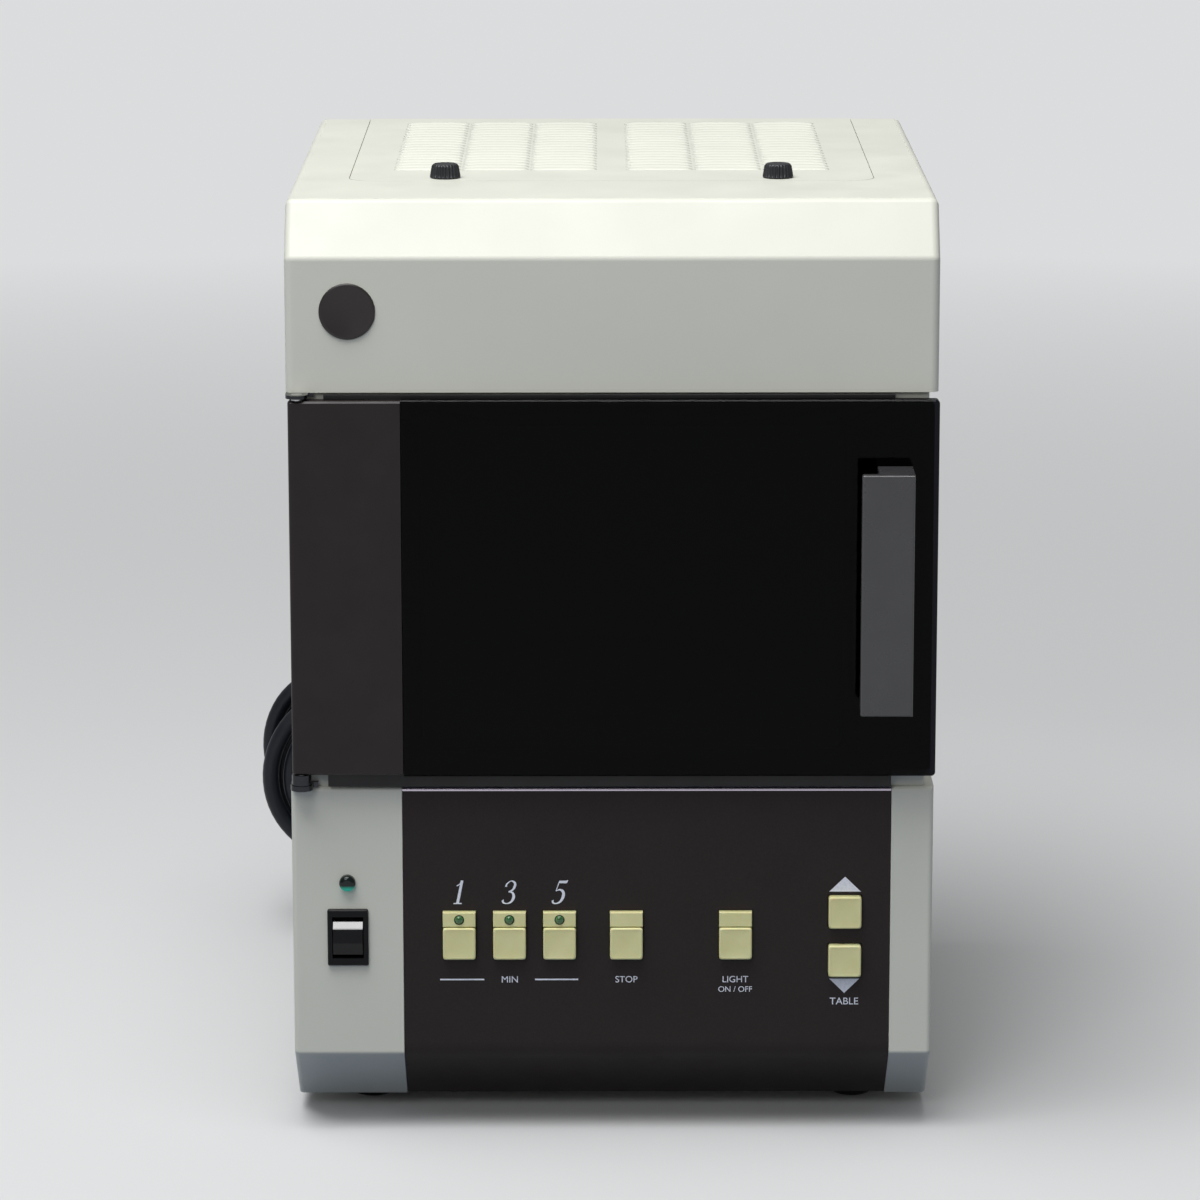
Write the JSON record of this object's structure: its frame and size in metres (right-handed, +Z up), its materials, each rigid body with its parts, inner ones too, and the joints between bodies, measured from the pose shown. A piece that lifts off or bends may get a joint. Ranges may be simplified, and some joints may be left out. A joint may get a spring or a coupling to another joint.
{
  "type": "dental light curing unit",
  "caption": "Bench-top dental lab light curing unit with a smoked side-hung door, a lamp-lit chamber with a rising turntable, front keys and a louvred lift-off lid.",
  "frame": {"origin": "centre of the bottom of the box that the unit takes up without its cord, on the surface that it stands on", "axes": "+Z up, -Y towards the front with the door and keys, +X to the viewer's right when facing the front"},
  "size_m": [0.3262, 0.404, 0.4337],
  "materials": {
    "ivory_shell": "fine satin",
    "brown_panel": "fine matte",
    "grey_steel": "rolled",
    "zinc_steel": "zinc plated",
    "bright_reflector": "polished",
    "black_steel": "satin black",
    "smoked_acrylic": "polished",
    "brown_strip": "semi gloss",
    "black_plastic": "fine matte",
    "handle_black": "moulded",
    "black_rubber": "matte",
    "sponge_rubber": "cellular",
    "key_yellow": "moulded",
    "led_green": "translucent",
    "pilot_teal": "moulded",
    "board_green": "coated",
    "lamp_glass": "coated",
    "ceramic": "glazed",
    "iron_core": "laminated",
    "gear_brass": "machined",
    "gear_acetal": "moulded",
    "chrome_rod": "ground",
    "turntable_metal": "spun",
    "cord_pvc": "satin",
    "blade_brass": "plated"
  },
  "bodies": {
    "cabinet": {"base_housing": "ivory_shell", "control_panel": "brown_panel", "base_plate": "zinc_steel", "rubber_feet": "black_rubber", "case_screws": "zinc_steel", "cabinet_shell": "ivory_shell", "top_cap": "ivory_shell", "rear_panel": "ivory_shell", "hinge_brackets": "zinc_steel", "hinge_pins": "chrome_rod", "magnet_catch": "black_plastic", "chamber_liner": "bright_reflector", "reflector_roof": "bright_reflector", "halogen_lamps": "lamp_glass", "lamp_sockets": "ceramic", "key_led_blocks": "key_yellow", "key_leds": "led_green", "control_board": "board_green", "rocker_bezel": "black_plastic", "pilot_lamp": "pilot_teal", "lamp_transformer": "iron_core", "fan_frame": "black_plastic", "lift_frame": "zinc_steel", "guide_rods": "chrome_rod", "lift_motor": "grey_steel", "cord_gland": "black_plastic", "fuse_holder": "black_plastic", "cord_hook": "zinc_steel", "power_cord": "cord_pvc", "cord_coil": "cord_pvc", "cord_tie": "black_plastic", "plug_body": "cord_pvc", "plug_blades": "blade_brass", "lid_nuts": "zinc_steel"},
    "door": {"door_window": "smoked_acrylic", "door_hinge_strip": "brown_strip", "door_frame": "black_steel", "door_gasket": "sponge_rubber", "door_handle": "handle_black", "handle_screws": "zinc_steel"},
    "lid": {"top_lid": "ivory_shell"},
    "thumb_screw_left": {"thumb_screw_left": "black_plastic"},
    "thumb_screw_right": {"thumb_screw_right": "black_plastic"},
    "power_rocker": {"power_rocker": "black_plastic"},
    "fan_rotor": {"fan_rotor": "black_plastic"},
    "lift_carriage": {"lift_carriage": "gear_acetal", "lift_rack": "gear_brass", "spin_motor": "grey_steel"},
    "lift_pinion": {"lift_pinion": "gear_brass"},
    "turntable": {"turntable": "turntable_metal", "turntable_spindle": "chrome_rod", "spindle_gear": "gear_acetal"},
    "spin_pinion": {"spin_pinion": "gear_brass"},
    "key_start_1": {"key_start_1": "key_yellow"},
    "key_start_3": {"key_start_3": "key_yellow"},
    "key_start_5": {"key_start_5": "key_yellow"},
    "key_stop": {"key_stop": "key_yellow"},
    "key_sub_light": {"key_sub_light": "key_yellow"},
    "key_table_up": {"key_table_up": "key_yellow"},
    "key_table_down": {"key_table_down": "key_yellow"}
  },
  "joints": [
    {"name": "door_hinge", "type": "hinge", "parent": "cabinet", "child": "door", "pos_m": [-0.1398, -0.176, 0.255], "axis": [0, 0, -1], "range_deg": [0, 110]},
    {"name": "lid_lift", "type": "slide", "parent": "cabinet", "child": "lid", "axis": [0, 0, 1], "range_m": [0, 0.06]},
    {"name": "thumb_screw_left_turn", "type": "hinge", "parent": "lid", "child": "thumb_screw_left", "pos_m": [-0.076, -0.084, 0.43], "axis": [0, 0, 1], "range_deg": [0, 1800]},
    {"name": "thumb_screw_right_turn", "type": "hinge", "parent": "lid", "child": "thumb_screw_right", "pos_m": [0.076, -0.084, 0.43], "axis": [0, 0, 1], "range_deg": [0, 1800]},
    {"name": "key_start_1_press", "type": "slide", "parent": "cabinet", "child": "key_start_1", "axis": [0, 1, 0], "range_m": [0, 0.001], "stiffness_N_per_m": 300},
    {"name": "key_start_3_press", "type": "slide", "parent": "cabinet", "child": "key_start_3", "axis": [0, 1, 0], "range_m": [0, 0.001], "stiffness_N_per_m": 300},
    {"name": "key_start_5_press", "type": "slide", "parent": "cabinet", "child": "key_start_5", "axis": [0, 1, 0], "range_m": [0, 0.001], "stiffness_N_per_m": 300},
    {"name": "key_stop_press", "type": "slide", "parent": "cabinet", "child": "key_stop", "axis": [0, 1, 0], "range_m": [0, 0.001], "stiffness_N_per_m": 300},
    {"name": "key_sub_light_press", "type": "slide", "parent": "cabinet", "child": "key_sub_light", "axis": [0, 1, 0], "range_m": [0, 0.001], "stiffness_N_per_m": 300},
    {"name": "key_table_up_press", "type": "slide", "parent": "cabinet", "child": "key_table_up", "axis": [0, 1, 0], "range_m": [0, 0.001], "stiffness_N_per_m": 300},
    {"name": "key_table_down_press", "type": "slide", "parent": "cabinet", "child": "key_table_down", "axis": [0, 1, 0], "range_m": [0, 0.001], "stiffness_N_per_m": 300},
    {"name": "power_rocker_tilt", "type": "hinge", "parent": "cabinet", "child": "power_rocker", "pos_m": [-0.12, -0.168, 0.0925], "axis": [1, 0, 0], "range_deg": [0, 16]},
    {"name": "fan_spin", "type": "hinge", "parent": "cabinet", "child": "fan_rotor", "pos_m": [0, 0.127, 0.29], "axis": [0, 1, 0], "continuous": true},
    {"name": "lift_slide", "type": "slide", "parent": "cabinet", "child": "lift_carriage", "axis": [0, 0, 1], "range_m": [0, 0.04]},
    {"name": "lift_pinion_turn", "type": "hinge", "parent": "cabinet", "child": "lift_pinion", "pos_m": [0.072, -0.066, 0.07], "axis": [0, 1, 0], "range_deg": [0, 230]},
    {"name": "turntable_spin", "type": "hinge", "parent": "lift_carriage", "child": "turntable", "pos_m": [0, -0.066, 0.12], "axis": [0, 0, 1], "continuous": true},
    {"name": "spin_pinion_turn", "type": "hinge", "parent": "lift_carriage", "child": "spin_pinion", "pos_m": [0, -0.0345, 0.055], "axis": [0, 0, 1], "continuous": true}
  ],
  "couplings": [
    {"joint": "lift_pinion_turn", "follows": "lift_slide", "rad_per_m": 100},
    {"joint": "spin_pinion_turn", "follows": "turntable_spin", "ratio": -2.5}
  ]
}
